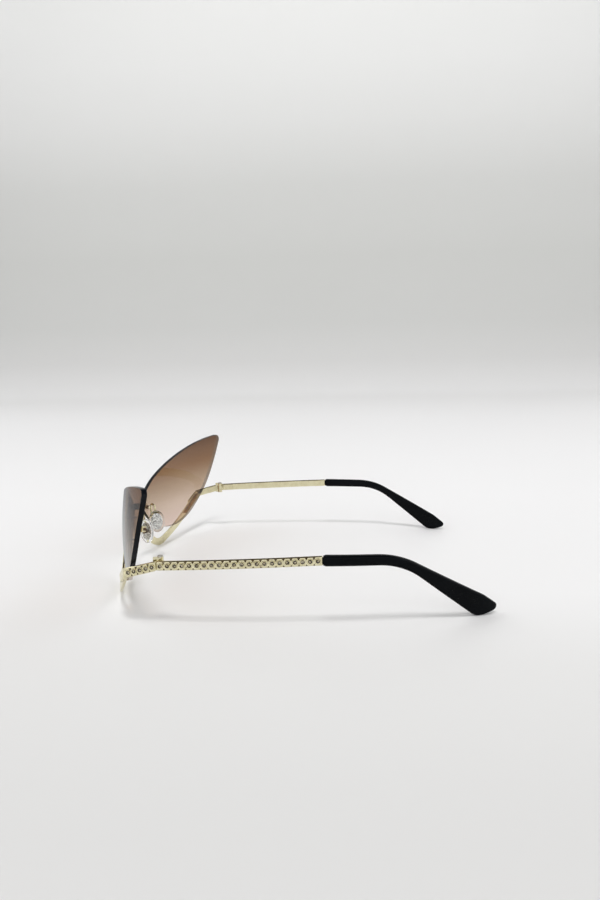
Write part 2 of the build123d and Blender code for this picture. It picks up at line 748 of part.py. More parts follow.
# Pad arm
arm_behind_lens = lens_inner_radius - arm_lens_clearance - arm_radius
foot_point = lens_points([arm_foot_shares])[0]
top_point = lens_points([arm_top_shares])[0]
arm_depth = -box_floor - box_wall - arm_radius + arm_seat_depth
with BuildPart() as left_pad_arm:
    with BuildLine() as arm_path:
        FilletPolyline(
            lens_normal_plane(foot_point, rim_inner_radius + rim_thickness / 2).origin,
            lens_normal_plane(foot_point, arm_behind_lens).origin,
            lens_normal_plane(top_point, arm_behind_lens).origin,
            pad_plane.from_local_coords((0, arm_over_box, arm_depth)),
            pad_plane.from_local_coords((0, -box_length / 3, arm_depth)),
            radius=arm_bend_radius,
        )
    with BuildSketch(Plane(origin=arm_path.line @ 0, z_dir=arm_path.line % 0)):
        RegularPolygon(arm_radius, arm_sides)
    sweep()
    add(left_pad_box.part, mode=Mode.SUBTRACT)
    add(left_rim.part, mode=Mode.SUBTRACT)
write_pair(left_pad_arm, "pad_arm")
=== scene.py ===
import math

import bmesh
import bpy
import numpy as np
from mathutils import Matrix, Vector


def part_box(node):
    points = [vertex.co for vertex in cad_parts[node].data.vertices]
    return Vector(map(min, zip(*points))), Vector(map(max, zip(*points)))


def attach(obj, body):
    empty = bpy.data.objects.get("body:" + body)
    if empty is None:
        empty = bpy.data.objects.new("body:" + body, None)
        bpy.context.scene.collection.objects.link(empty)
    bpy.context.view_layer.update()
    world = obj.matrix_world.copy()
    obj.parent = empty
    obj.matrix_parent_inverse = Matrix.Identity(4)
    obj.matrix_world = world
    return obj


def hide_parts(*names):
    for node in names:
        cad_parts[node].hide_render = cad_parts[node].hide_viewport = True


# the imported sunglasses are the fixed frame, and everything here is built onto them
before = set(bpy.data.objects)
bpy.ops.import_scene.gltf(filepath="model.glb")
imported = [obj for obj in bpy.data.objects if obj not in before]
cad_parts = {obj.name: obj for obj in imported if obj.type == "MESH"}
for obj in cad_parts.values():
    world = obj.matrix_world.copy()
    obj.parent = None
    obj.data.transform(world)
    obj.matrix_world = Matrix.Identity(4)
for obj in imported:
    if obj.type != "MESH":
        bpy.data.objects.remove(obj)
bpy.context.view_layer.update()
scene = bpy.context.scene
scene.view_settings.view_transform = "Standard"
mm = 0.001
sides = {"left": 1, "right": -1}
print("frame loaded:", len(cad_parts), "nodes")


# small helpers for node trees

# a value that is another node's output is linked, and any other is set
def addNode(tree, kind, values=None, **settings):
    node = tree.nodes.new(kind)
    for key, value in settings.items():
        setattr(node, key, value)
    for key, value in (values or {}).items():
        if isinstance(value, bpy.types.NodeSocket):
            tree.links.new(value, node.inputs[key])
        else:
            node.inputs[key].default_value = value
    return node


def newMaterial(name):
    material = bpy.data.materials.new(name)
    material.use_nodes = True
    material.node_tree.nodes.clear()
    return material, material.node_tree


def ramp(tree, factor, stops):
    node = addNode(tree, "ShaderNodeValToRGB", {"Fac": factor})
    elements = node.color_ramp.elements
    while len(elements) < len(stops):
        elements.new(0.5)
    for element, (place, colour) in zip(elements, stops):
        element.position = place
        element.color = (*colour, 1)
    return node.outputs["Color"]


def span(tree, source, low, high, toLow=0.0, toHigh=1.0):
    return addNode(tree, "ShaderNodeMapRange", {
        0: source, 1: low, 2: high, 3: toLow, 4: toHigh}).outputs[0]


def reckon(tree, operation, *terms, clamp=False):
    return addNode(tree, "ShaderNodeMath", dict(enumerate(terms)), operation=operation,
                   use_clamp=clamp).outputs[0]


# noise on object coordinates, stretched along the axes by the given factors
def grain(tree, scale, stretch=(1, 1, 1), detail=3.0, roughness=0.5):
    place = addNode(tree, "ShaderNodeTexCoord")
    turn = addNode(tree, "ShaderNodeMapping", {
        "Vector": place.outputs["Object"], "Scale": stretch})
    return addNode(tree, "ShaderNodeTexNoise", {
        "Vector": turn.outputs["Vector"], "Scale": scale, "Detail": detail,
        "Roughness": roughness}).outputs["Fac"]


# most of the noise lies between these
noiseRange = (0.3, 0.7)


def shades(tree, noise, deep, light, edges=noiseRange):
    return ramp(tree, noise, [(edges[0], deep), (edges[1], light)])


def spread(tree, noise, limits):
    return span(tree, noise, *noiseRange, *limits)


def axes(tree, coordinates="Object"):
    place = addNode(tree, "ShaderNodeTexCoord")
    return addNode(tree, "ShaderNodeSeparateXYZ", {0: place.outputs[coordinates]}).outputs


def bumpFrom(tree, height, strength, distance):
    return addNode(tree, "ShaderNodeBump", {
        "Height": height, "Strength": strength, "Distance": distance}).outputs["Normal"]


def mixShaders(tree, share, first, second):
    return addNode(tree, "ShaderNodeMixShader", {
        0: share, 1: first.outputs[0], 2: second.outputs[0]})


def finishWith(tree, shader):
    addNode(tree, "ShaderNodeOutputMaterial", {"Surface": shader.outputs[0]})


# polished metals: a slow drift of tone and fine scratches

metalLook = {
    "gold": {"light": (0.770, 0.720, 0.495), "deep": (0.690, 0.630, 0.405),
             "rough": (0.14, 0.24), "stretch": (1, 0.12, 1)},
    "steel": {"light": (0.62, 0.60, 0.56), "deep": (0.36, 0.34, 0.31),
              "rough": (0.22, 0.40), "stretch": (1, 1, 1)},
    "dark": {"light": (0.20, 0.13, 0.09), "deep": (0.06, 0.035, 0.025),
             "rough": (0.25, 0.45), "stretch": (1, 1, 1)},
    "toneScale": 420.0, "toneDetail": 4.0, "toneEdges": (0.36, 0.62),
    "scratchScale": 2600.0, "scratchStrength": 0.06, "scratchDepth": 0.02 * mm,
}


def polishedMetal(name, kind):
    look = metalLook[kind]
    material, tree = newMaterial(name)
    tone = grain(tree, metalLook["toneScale"], detail=metalLook["toneDetail"])
    wear = grain(tree, metalLook["scratchScale"], look["stretch"], detail=2.0)
    finishWith(tree, addNode(tree, "ShaderNodeBsdfPrincipled", {
        "Metallic": 1.0,
        "Base Color": shades(tree, tone, look["deep"], look["light"], metalLook["toneEdges"]),
        "Roughness": spread(tree, wear, look["rough"]),
        "Normal": bumpFrom(tree, wear, metalLook["scratchStrength"],
                           metalLook["scratchDepth"])}))
    return material


paleGold = polishedMetal("paleGold", "gold")
fastenerSteel = polishedMetal("fastenerSteel", "steel")
darkMetal = polishedMetal("darkMetal", "dark")


# graded lenses: each face lets light through by height, and mirrors more when seen edge-on

lensLook = {
    # what one face of the lens lets through, from the lowest to the highest point
    "tint": [(0.00, (0.900, 0.800, 0.755)), (0.27, (0.800, 0.703, 0.624)),
             (0.50, (0.638, 0.532, 0.428)), (0.70, (0.518, 0.380, 0.270)),
             (0.85, (0.464, 0.345, 0.260)), (1.00, (0.402, 0.292, 0.220))],
    "low": 9.4 * mm, "high": 57.4 * mm, "mottle": 0.012, "mottleScale": 55.0,
    # the mirrored share is the Fresnel share times shineBase plus shineRise of itself
    "shine": [(0.45, (0.530, 0.540, 0.545)), (1.00, (0.265, 0.262, 0.260))],
    "shineBase": 0.75, "shineRise": 1.6, "shineIndex": 1.7, "shineRough": 0.03,
    # the ground edge is dark where the lens is, and pale at its lowest part with painted light
    # from the floor below
    "edge": [(0.20, (0.620, 0.550, 0.490)), (0.50, (0.240, 0.200, 0.170)),
             (0.80, (0.012, 0.013, 0.016)), (1.00, (0.004, 0.005, 0.007))],
    "edgeFloorLitHeight": 14.0 * mm, "edgeDark": 24.0 * mm, "edgeMottle": 0.16, "edgeScale": 900.0,
    "edgeStretch": (1, 1, 0.15), "edgeRough": (0.10, 0.22), "edgeGloss": 0.12,
    "edgeIndex": 1.5,
    "innerDeep": (0.40, 0.38, 0.36), "innerLight": (0.52, 0.49, 0.46),
}


# height between two levels as a share, with a little noise added
def driftingHeight(tree, noise, mottle, low, high):
    return reckon(tree, "MULTIPLY_ADD", noise, mottle, span(tree, axes(tree)["Z"], low, high))


def tintedLens():
    look = lensLook
    material, tree = newMaterial("gradedLens")
    height = driftingHeight(tree, grain(tree, look["mottleScale"], detail=2.0),
                            look["mottle"], look["low"], look["high"])
    clear = addNode(tree, "ShaderNodeBsdfTransparent", {
        "Color": ramp(tree, height, look["tint"])})
    shine = addNode(tree, "ShaderNodeBsdfGlossy", {
        "Color": ramp(tree, height, look["shine"]), "Roughness": look["shineRough"]})
    edgeOn = addNode(tree, "ShaderNodeFresnel", {"IOR": look["shineIndex"]}).outputs[0]
    gain = reckon(tree, "MULTIPLY_ADD", edgeOn, look["shineRise"], look["shineBase"])
    share = reckon(tree, "MULTIPLY", edgeOn, gain, clamp=True)
    side = addNode(tree, "ShaderNodeNewGeometry")
    outer = reckon(tree, "SUBTRACT", 1.0, side.outputs["Backfacing"])
    mirrored = reckon(tree, "MULTIPLY", share, outer)
    finishWith(tree, mixShaders(tree, mirrored, clear, shine))
    return material


def lensEdgeFinish():
    look = lensLook
    material, tree = newMaterial("lensEdge")
    ground = grain(tree, look["edgeScale"], look["edgeStretch"], detail=2.0)
    height = driftingHeight(tree, ground, look["edgeMottle"], look["edgeFloorLitHeight"],
                            look["edgeDark"])
    # edge colour by height: painted light from the floor on the lowest part, dark above it
    body = addNode(tree, "ShaderNodeBsdfPrincipled", {
        "IOR": look["edgeIndex"], "Specular IOR Level": look["edgeGloss"],
        "Base Color": ramp(tree, height, look["edge"]),
        "Roughness": spread(tree, ground, look["edgeRough"])})
    # seen through the lens from inside, the ground edge only deepens the tint
    within = addNode(tree, "ShaderNodeBsdfTransparent", {
        "Color": shades(tree, ground, look["innerDeep"], look["innerLight"])})
    side = addNode(tree, "ShaderNodeNewGeometry")
    finishWith(tree, mixShaders(tree, side.outputs["Backfacing"], body, within))
    return material


gradedLens = tintedLens()
lensEdge = lensEdgeFinish()


# glossy black moulding of the tip sleeves

tipLook = {
    "black": (0.0010, 0.0015, 0.0022), "bloom": (0.0028, 0.0038, 0.0050),
    "bloomScale": 160.0, "bloomStretch": (1, 0.4, 1), "bloomEdges": (0.35, 0.75),
    "rough": (0.08, 0.16), "peelScale": 900.0, "peelStrength": 0.03, "peelDepth": 0.06 * mm,
    "index": 1.5, "gloss": 0.02, "coat": 0.10, "coatRough": 0.02,
}


def mouldedBlack():
    look = tipLook
    material, tree = newMaterial("blackTip")
    bloom = grain(tree, look["bloomScale"], look["bloomStretch"], 4.0, 0.6)
    finishWith(tree, addNode(tree, "ShaderNodeBsdfPrincipled", {
        "IOR": look["index"], "Specular IOR Level": look["gloss"],
        "Coat Weight": look["coat"], "Coat Roughness": look["coatRough"],
        "Base Color": shades(tree, bloom, look["black"], look["bloom"], look["bloomEdges"]),
        "Roughness": spread(tree, bloom, look["rough"]),
        "Normal": bumpFrom(tree, grain(tree, look["peelScale"]), look["peelStrength"],
                           look["peelDepth"])}))
    return material


blackTip = mouldedBlack()


# clear mouldings and stones: light passes with a little haze, and edges mirror

clearLook = {
    "clearPad": {"tint": (0.99, 0.99, 0.98), "haze": (0.94, 0.95, 0.94),
                 "index": 1.28, "rough": (0.02, 0.08)},
    "clearWasher": {"tint": (0.92, 0.92, 0.90), "haze": (0.84, 0.84, 0.82),
                    "index": 1.45, "rough": (0.05, 0.12)},
    "crystal": {"tint": (0.96, 0.90, 0.72), "haze": (0.88, 0.80, 0.60),
                "index": 1.6, "rough": (0.00, 0.02)},
}
flowScale = 240.0


def clearMaterial(name):
    look = clearLook[name]
    material, tree = newMaterial(name)
    flow = grain(tree, flowScale, detail=2.0)
    finishWith(tree, addNode(tree, "ShaderNodeBsdfPrincipled", {
        "IOR": look["index"], "Transmission Weight": 1.0,
        "Base Color": shades(tree, flow, look["haze"], look["tint"]),
        "Roughness": spread(tree, flow, look["rough"])}))
    return material


clearPad, clearWasher, crystal = (clearMaterial(name) for name in clearLook)


# the thin film that holds a lens on its rim: tinted, and too thin to bend light

bondLook = {"deep": (0.60, 0.46, 0.30), "light": (0.76, 0.62, 0.44), "edges": (0.35, 0.65),
            "scale": 420.0, "rough": (0.05, 0.15), "glossShare": 0.05}


def filmFinish():
    look = bondLook
    material, tree = newMaterial("bondAmber")
    flow = grain(tree, look["scale"], detail=2.0)
    clear = addNode(tree, "ShaderNodeBsdfTransparent", {
        "Color": shades(tree, flow, look["deep"], look["light"], look["edges"])})
    shine = addNode(tree, "ShaderNodeBsdfGlossy", {
        "Roughness": spread(tree, flow, look["rough"])})
    finishWith(tree, mixShaders(tree, look["glossShare"], clear, shine))
    return material


bondAmber = filmFinish()


# bright leaf inside a nose pad or under a stone, crumpled so that it glitters; its colour
# follows the crumple, with painted glints on the crests and painted shade in the hollows

crumpleGlintLook = {
    "padGlintFoil": {"scale": 1300.0, "deep": (0.27, 0.27, 0.26), "light": (0.88, 0.88, 0.86)},
    "stoneGlintLeaf": {"scale": 1900.0, "deep": (0.64, 0.57, 0.42), "light": (0.98, 0.94, 0.82)},
    "edges": (0.38, 0.60), "rough": (0.12, 0.30), "strength": 0.9, "depth": 0.4 * mm,
}


def crumpleGlintFoil(name):
    look = crumpleGlintLook[name]
    material, tree = newMaterial(name)
    crumple = grain(tree, look["scale"], roughness=0.7)
    # painted glints and shade: the colour is light on the crumple's crests and deep in its
    # hollows
    finishWith(tree, addNode(tree, "ShaderNodeBsdfPrincipled", {
        "Metallic": 1.0,
        "Base Color": shades(tree, crumple, look["deep"], look["light"], crumpleGlintLook["edges"]),
        "Roughness": spread(tree, crumple, crumpleGlintLook["rough"]),
        "Normal": bumpFrom(tree, crumple, crumpleGlintLook["strength"], crumpleGlintLook["depth"])}))
    return material


padGlintFoil = crumpleGlintFoil("padGlintFoil")
stoneGlintLeaf = crumpleGlintFoil("stoneGlintLeaf")


# painted shade: a dull, dark ground that stands for the shade in the struck notches, the
# grooves and the stone cups of the gold strip

recessShadeLook = {"deep": (0.024, 0.014, 0.003), "light": (0.075, 0.045, 0.012),
              "scale": 2400.0, "rough": (0.4, 0.6), "index": 1.5, "gloss": 0.03}


def recessShadeFinish():
    look = recessShadeLook
    material, tree = newMaterial("paintedRecessShade")
    shade = grain(tree, look["scale"])
    finishWith(tree, addNode(tree, "ShaderNodeBsdfPrincipled", {
        "IOR": look["index"], "Specular IOR Level": look["gloss"],
        "Base Color": shades(tree, shade, look["deep"], look["light"]),
        "Roughness": spread(tree, shade, look["rough"])}))
    return material


paintedRecessShade = recessShadeFinish()
print("finishes ready")


# taking a CAD node's shape into a new piece

# points and short edges closer than this, and faces flatter than this, count as one
mergeLimits = {"points": 0.0004 * mm, "edge": 0.03 * mm, "flatAngle": 0.1}


def mergedCopy(node):
    work = bmesh.new()
    work.from_mesh(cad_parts[node].data)
    bmesh.ops.remove_doubles(work, verts=work.verts, dist=mergeLimits["points"])
    return work


def placeOn(mesh, name, body):
    piece = bpy.data.objects.new(name, mesh)
    scene.collection.objects.link(piece)
    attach(piece, body)
    return piece


def pieceFrom(work, name, materials, body, smoothAngle=35.0):
    mesh = bpy.data.meshes.new(name)
    work.to_mesh(mesh)
    work.free()
    for material in materials:
        mesh.materials.append(material)
    mesh.shade_smooth()
    mesh.set_sharp_from_angle(angle=math.radians(smoothAngle))
    return placeOn(mesh, name, body)


# metal pieces with their edges rounded as tumbled and plated metal has them

# width of the rounding, and the shortest edge that is rounded, in millimetres
metalPieces = {
    "bridge": {"width": 0.16, "shortest": 0.8},
    "rim": {"width": 0.16, "shortest": 0.8},
    "endpiece": {"width": 0.50, "shortest": 1.1},
    "temple": {"width": 0.60, "shortest": 1.1},
    "front_hinge": {"width": 0.07, "shortest": 0.5},
    "temple_hinge": {"width": 0.07, "shortest": 0.5},
    "hinge_screw": {"width": 0.06, "shortest": 0.2, "finish": fastenerSteel},
    "pad_box": {"width": 0.08, "shortest": 0.5},
    "pad_arm": {"width": 0.03, "shortest": 5.0},
    "lens_nuts": {"width": 0.06, "shortest": 0.2, "finish": darkMetal},
    "lens_screws": {"width": 0.06, "shortest": 0.2},
}
onePerFrame = ("bridge", "lens_nuts", "lens_screws")
onTemples = ("temple", "temple_hinge")

# below the first angle an edge is a facet of a curve, above the second a folded sliver
rounding = {"sharpAngles": (38.0, 150.0), "segments": 2}


# marks the long sharp edges, so that only they are rounded
def markSharpEdges(work, shortest):
    low, high = rounding["sharpAngles"]
    layer = work.edges.layers.float.get("bevel_weight_edge") or \
        work.edges.layers.float.new("bevel_weight_edge")
    for edge in work.edges:
        turn = math.degrees(edge.calc_face_angle(0)) if len(edge.link_faces) == 2 else 0
        edge[layer] = 1.0 if low < turn < high and edge.calc_length() > shortest else 0.0


def roundedCopy(kind, node):
    look = metalPieces[kind]
    work = mergedCopy(node)
    bmesh.ops.dissolve_degenerate(work, dist=mergeLimits["edge"], edges=work.edges)
    bmesh.ops.dissolve_limit(work, angle_limit=math.radians(mergeLimits["flatAngle"]),
                             verts=work.verts, edges=work.edges)
    markSharpEdges(work, look["shortest"] * mm)
    body = node.split("_")[0] + "_temple" if kind in onTemples else "front"
    piece = pieceFrom(work, node + ".look", [look.get("finish", paleGold)], body)
    bevel = piece.modifiers.new("edgeRounding", "BEVEL")
    bevel.limit_method = "WEIGHT"
    bevel.width = look["width"] * mm
    bevel.segments = rounding["segments"]
    bevel.use_clamp_overlap = False
    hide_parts(node)


for kind in metalPieces:
    nodes = [kind] if kind in onePerFrame else [f"{side}_{kind}" for side in sides]
    for node in nodes:
        roundedCopy(kind, node)
print("metal pieces rounded")


# lenses: the frame's own outline on two spheres, with dark ground edges

lensShape = {
    "frontRadius": 151.0 * mm, "thickness": 2.0 * mm, "wrap": 20.0, "edgeChamfer": 0.16 * mm,
    "rings": 14, "ringPower": 1.4, "smoothAngle": 28.0,
    # how squarely a face looks ahead to count as the front, and the steps of the sphere fit
    "frontFacing": 0.85, "fitEvery": 7, "fitSteps": 400,
}


# centre of the sphere through the front face, found from its points
def fitSphere(points):
    radius = lensShape["frontRadius"]
    centre = sum(points, Vector()) / len(points)
    centre += Vector((0, radius, 0))
    for _ in range(lensShape["fitSteps"]):
        shift = Vector()
        for point in points:
            away = centre - point
            shift += away * (radius / away.length - 1)
        centre += shift / len(points)
    return centre


# corner points of closed chains of edges, in order; a dictionary keeps the edges' own order,
# so that every run starts at the same corner
def orderedLoops(edges):
    links = {}
    for edge in edges:
        for vert in edge.verts:
            links.setdefault(vert, []).append(edge)
    left, loops = dict.fromkeys(edges), []
    while left:
        edge = next(iter(left))
        vert = edge.verts[0]
        loop = []
        while edge is not None:
            del left[edge]
            loop.append(vert.co.copy())
            vert = edge.other_vert(vert)
            edge = next((near for near in links[vert] if near in left), None)
        loops.append(loop)
    return loops


# the outline of the front face, and the centre of its sphere
def lensFront(node, facing):
    work = mergedCopy(node)
    front = [face for face in work.faces
             if face.normal.dot(facing) > lensShape["frontFacing"]]
    frontSet = set(front)
    border = [edge for edge in work.edges
              if sum(face in frontSet for face in edge.link_faces) == 1]
    corners = [vert.co.copy() for face in front for vert in face.verts]
    centre = fitSphere(corners[::lensShape["fitEvery"]])
    outline = max(orderedLoops(border),
                  key=lambda loop: sum((a - b).length for a, b in zip(loop, loop[1:])))
    work.free()
    return outline, centre


def buildLens(side, sign):
    node = f"{side}_lens"
    turn = math.radians(lensShape["wrap"])
    facing = Vector((sign * math.sin(turn), -math.cos(turn), 0))
    across = Vector((math.cos(turn), sign * math.sin(turn), 0))
    up = Vector((0, 0, 1))
    outline, centre = lensFront(node, facing)
    flat = [((point - centre).dot(across), (point - centre).dot(up)) for point in outline]
    middle = (sum(u for u, _ in flat) / len(flat), sum(v for _, v in flat) / len(flat))
    size = [math.hypot(u - middle[0], v - middle[1]) for u, v in flat]
    front = lensShape["frontRadius"]
    back = front - lensShape["thickness"]
    chamfer = lensShape["edgeChamfer"]
    made = bmesh.new()

    def onSphere(u, v, radius):
        rise = math.sqrt(radius ** 2 - u ** 2 - v ** 2)
        return made.verts.new(centre + across * u + up * v + facing * rise)

    # the outline shrunk to a share of its size, less an inset, on a sphere
    def ring(share, radius, inset=0.0):
        parts = [share * (1 - inset / reach) for reach in size]
        return [onSphere(middle[0] + (u - middle[0]) * part, middle[1] + (v - middle[1]) * part,
                         radius) for (u, v), part in zip(flat, parts)]

    def sew(outer, inner, outwards, finish):
        count = len(outer)
        for step in range(count):
            after = (step + 1) % count
            quad = [outer[step], outer[after], inner[after], inner[step]]
            face = made.faces.new(quad if outwards else quad[::-1])
            face.material_index = finish

    def cap(radius, inset, outwards):
        rings = lensShape["rings"]
        rows = [ring(1 - (step / rings) ** lensShape["ringPower"], radius, inset)
                for step in range(rings)]
        tip = onSphere(*middle, radius)
        for outer, inner in zip(rows, rows[1:]):
            sew(outer, inner, outwards, 0)
        last = rows[-1]
        for step in range(len(last)):
            trio = [last[step], last[(step + 1) % len(last)], tip]
            made.faces.new(trio if outwards else trio[::-1])
        return rows[0]

    frontRing = cap(front, chamfer, True)
    backRing = cap(back, chamfer, False)
    frontEdge = ring(1.0, front - chamfer)
    backEdge = ring(1.0, back + chamfer)
    for outer, inner in ((frontEdge, frontRing), (backEdge, frontEdge), (backRing, backEdge)):
        sew(outer, inner, True, 1)
    bmesh.ops.recalc_face_normals(made, faces=made.faces)
    piece = pieceFrom(made, f"{side}_lens.look", [gradedLens, lensEdge], "front",
                      lensShape["smoothAngle"])
    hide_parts(node)


for side, sign in sides.items():
    buildLens(side, sign)
print("lenses built")


# tip sleeves: rounded bars that bend down and widen to the tip

# corners of the top and under lines, as shares of length and height, with radii in millimetres
sleeveShape = {
    "topStart": 1.0, "underStart": 0.852, "length": 71.0 * mm, "topHeight": 29.07 * mm,
    "top": [((0.4155, 0.9845), 33.0), ((0.920, 0.292), 14.0), ((1.000, 0.140), 1.4)],
    "under": [((0.4394, 0.840), 27.0), ((0.865, 0.000), 6.0), ((0.918, 0.000), 9.0),
              ((0.994, 0.060), 2.0)],
    "end": (1.000, 0.110), "startThickness": 3.2 * mm, "endThickness": 2.5 * mm,
    "round": 0.95 * mm, "mouthShrink": 0.14, "stations": 84, "corner": 6,
    "startSpan": 69.915 * mm, "endSpan": 58.2 * mm, "bow": 2.4 * mm, "endTaper": 2.6 * mm,
    "arcSteps": 10, "thinnest": 0.0001 * mm, "weld": 0.002 * mm, "smoothAngle": 50.0,
}


# a polyline with arcs at its inner corners
def roundedPath(points, radii):
    steps = sleeveShape["arcSteps"]
    path = [Vector(points[0])]
    for before, corner, after, radius in zip(points, points[1:], points[2:], radii):
        corner = Vector(corner)
        inward = (Vector(before) - corner).normalized()
        outward = (Vector(after) - corner).normalized()
        half = inward.angle(outward) / 2
        tangent = radius / math.tan(half)
        centre = corner + (inward + outward).normalized() * (radius / math.sin(half))
        start = corner + inward * tangent - centre
        end = corner + outward * tangent - centre
        turn = start.angle(end)
        for step in range(steps + 1):
            share = step / steps
            path.append(centre + (start * math.sin((1 - share) * turn)
                                  + end * math.sin(share * turn)) / math.sin(turn))
    path.append(Vector(points[-1]))
    return path


# points at even distances along a path
def evenly(path, count):
    lengths = [0.0]
    for a, b in zip(path, path[1:]):
        lengths.append(lengths[-1] + (b - a).length)
    found, index = [], 0
    for step in range(count):
        want = lengths[-1] * step / (count - 1)
        while index < len(path) - 2 and lengths[index + 1] < want:
            index += 1
        length = lengths[index + 1] - lengths[index]
        share = min((want - lengths[index]) / length, 1) if length > 0 else 0
        found.append(path[index].lerp(path[index + 1], share))
    return found


# one side of the sleeve in its own plane, from the mouth to the tip
def sleeveLine(start, corners):
    shape = sleeveShape
    shares = [(0, start)] + [corner for corner, _ in corners] + [shape["end"]]
    points = [(x * shape["length"], y * shape["topHeight"]) for x, y in shares]
    return evenly(roundedPath(points, [radius * mm for _, radius in corners]),
                  shape["stations"])


# points round a bar's section, as (across, up)
def sleeveSection(halfHeight, halfThickness):
    radius = min(sleeveShape["round"], halfHeight, halfThickness)
    corner = sleeveShape["corner"]
    points = []
    for quarter in range(4):
        middleX = (halfThickness - radius) * (1 if quarter in (0, 3) else -1)
        middleZ = (halfHeight - radius) * (1 if quarter in (0, 1) else -1)
        for step in range(corner + 1):
            angle = math.radians(90 * quarter + 90 * step / corner)
            points.append((middleX + radius * math.cos(angle),
                           middleZ + radius * math.sin(angle)))
    return points


def buildSleeve(side, sign):
    node = f"{side}_tip_sleeve"
    shape = sleeveShape
    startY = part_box(node)[0][1]
    top = sleeveLine(shape["topStart"], shape["top"])
    under = sleeveLine(shape["underStart"], shape["under"])
    work = bmesh.new()
    rows = []
    for index, (high, low) in enumerate(zip(top, under)):
        middle = (high + low) / 2
        share = middle.x / shape["length"]
        halfHeight = (high - low).length / 2
        lean = Vector((0, 1))
        if halfHeight > shape["thinnest"]:
            lean = (high - low).normalized()
        thickness = shape["startThickness"] + share * (
            shape["endThickness"] - shape["startThickness"])
        closing = max(min((shape["length"] - middle.x) / shape["endTaper"], 1), 0)
        halfThickness = thickness / 2 * math.sqrt(1 - (1 - closing) ** 2)
        mouth = 1 - shape["mouthShrink"] * (index == 0)
        spanAt = shape["startSpan"] + share * (shape["endSpan"] - shape["startSpan"]) \
            + shape["bow"] * 4 * share * (1 - share)
        row = []
        for across, up in sleeveSection(halfHeight * mouth, halfThickness * mouth):
            point = middle + lean * up
            row.append(work.verts.new((
                sign * (spanAt + across), startY + max(point.x, 0), max(point.y, 0))))
        rows.append(row)
    count = len(rows[0])
    for a, b in zip(rows, rows[1:]):
        for step in range(count):
            after = (step + 1) % count
            work.faces.new([a[step], a[after], b[after], b[step]])
    work.faces.new(rows[0][::-1])
    bmesh.ops.remove_doubles(work, verts=work.verts, dist=shape["weld"])
    bmesh.ops.holes_fill(work, edges=[edge for edge in work.edges if edge.is_boundary])
    bmesh.ops.recalc_face_normals(work, faces=work.faces)
    piece = pieceFrom(work, f"{side}_tip_sleeve.look", [blackTip], f"{side}_temple",
                      shape["smoothAngle"])
    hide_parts(node)


for side, sign in sides.items():
    buildSleeve(side, sign)
print("tip sleeves built")


# stones, cup rims and the struck pattern round them, with painted shade in the grooves, cup
# floors and notches and a painted glint leaf in each stone, from the frame's own rows

# shapes that Geometry Nodes set on each stone's place

def rimShape(tree, start):
    circle = addNode(tree, "GeometryNodeCurvePrimitiveCircle", {
        "Resolution": start.outputs["Steps"], "Radius": start.outputs["Radius"]})
    wire = addNode(tree, "GeometryNodeCurvePrimitiveCircle", {
        "Resolution": start.outputs["Wire Steps"], "Radius": start.outputs["Wire"]})
    return addNode(tree, "GeometryNodeCurveToMesh", {
        "Curve": circle.outputs[0], "Profile Curve": wire.outputs[0]}).outputs[0]


# a round stone from its culet up: pavilion, girdle, crown and table
def stoneShape(tree, start):
    base = addNode(tree, "GeometryNodeMeshCircle", {
        "Vertices": start.outputs["Facets"], "Radius": start.outputs["Culet"]},
        fill_type="NGON").outputs[0]
    flipped = addNode(tree, "GeometryNodeFlipFaces", {0: base})
    here, chosen, radius = base, True, start.outputs["Culet"]
    for depth, reach in (("Pavilion", "Girdle"), ("Band", "Girdle"), ("Crown", "Table")):
        rise = addNode(tree, "GeometryNodeExtrudeMesh", {
            "Mesh": here, "Selection": chosen, "Offset Scale": start.outputs[depth],
            "Individual": False}, mode="FACES")
        here = addNode(tree, "GeometryNodeScaleElements", {
            "Geometry": rise.outputs["Mesh"], "Selection": rise.outputs["Top"],
            "Scale": reckon(tree, "DIVIDE", start.outputs[reach], radius)},
            domain="FACE").outputs[0]
        chosen, radius = rise.outputs["Top"], start.outputs[reach]
    both = addNode(tree, "GeometryNodeJoinGeometry", {0: here})
    tree.links.new(flipped.outputs[0], both.inputs[0])
    weld = addNode(tree, "GeometryNodeMergeByDistance", {
        0: both.outputs[0], "Distance": start.outputs["Weld"]})
    lower = addNode(tree, "ShaderNodeCombineXYZ", {"Z": start.outputs["Sink"]})
    return addNode(tree, "GeometryNodeTransform", {
        "Geometry": weld.outputs[0], "Translation": lower.outputs[0]}).outputs[0]


def notchShape(tree, start):
    size = start.outputs["Size"]
    return addNode(tree, "GeometryNodeMeshCone", {
        "Vertices": start.outputs["Steps"], "Radius Top": size, "Radius Bottom": size,
        "Depth": start.outputs["Depth"]}).outputs[0]


def discShape(tree, start):
    return addNode(tree, "GeometryNodeMeshCylinder", {
        "Vertices": start.outputs["Steps"], "Radius": start.outputs["Radius"],
        "Depth": start.outputs["Depth"]}).outputs[0]


def prongShape(tree, start):
    return addNode(tree, "GeometryNodeMeshIcoSphere", {
        "Subdivisions": start.outputs["Steps"], "Radius": start.outputs["Size"]}).outputs[0]


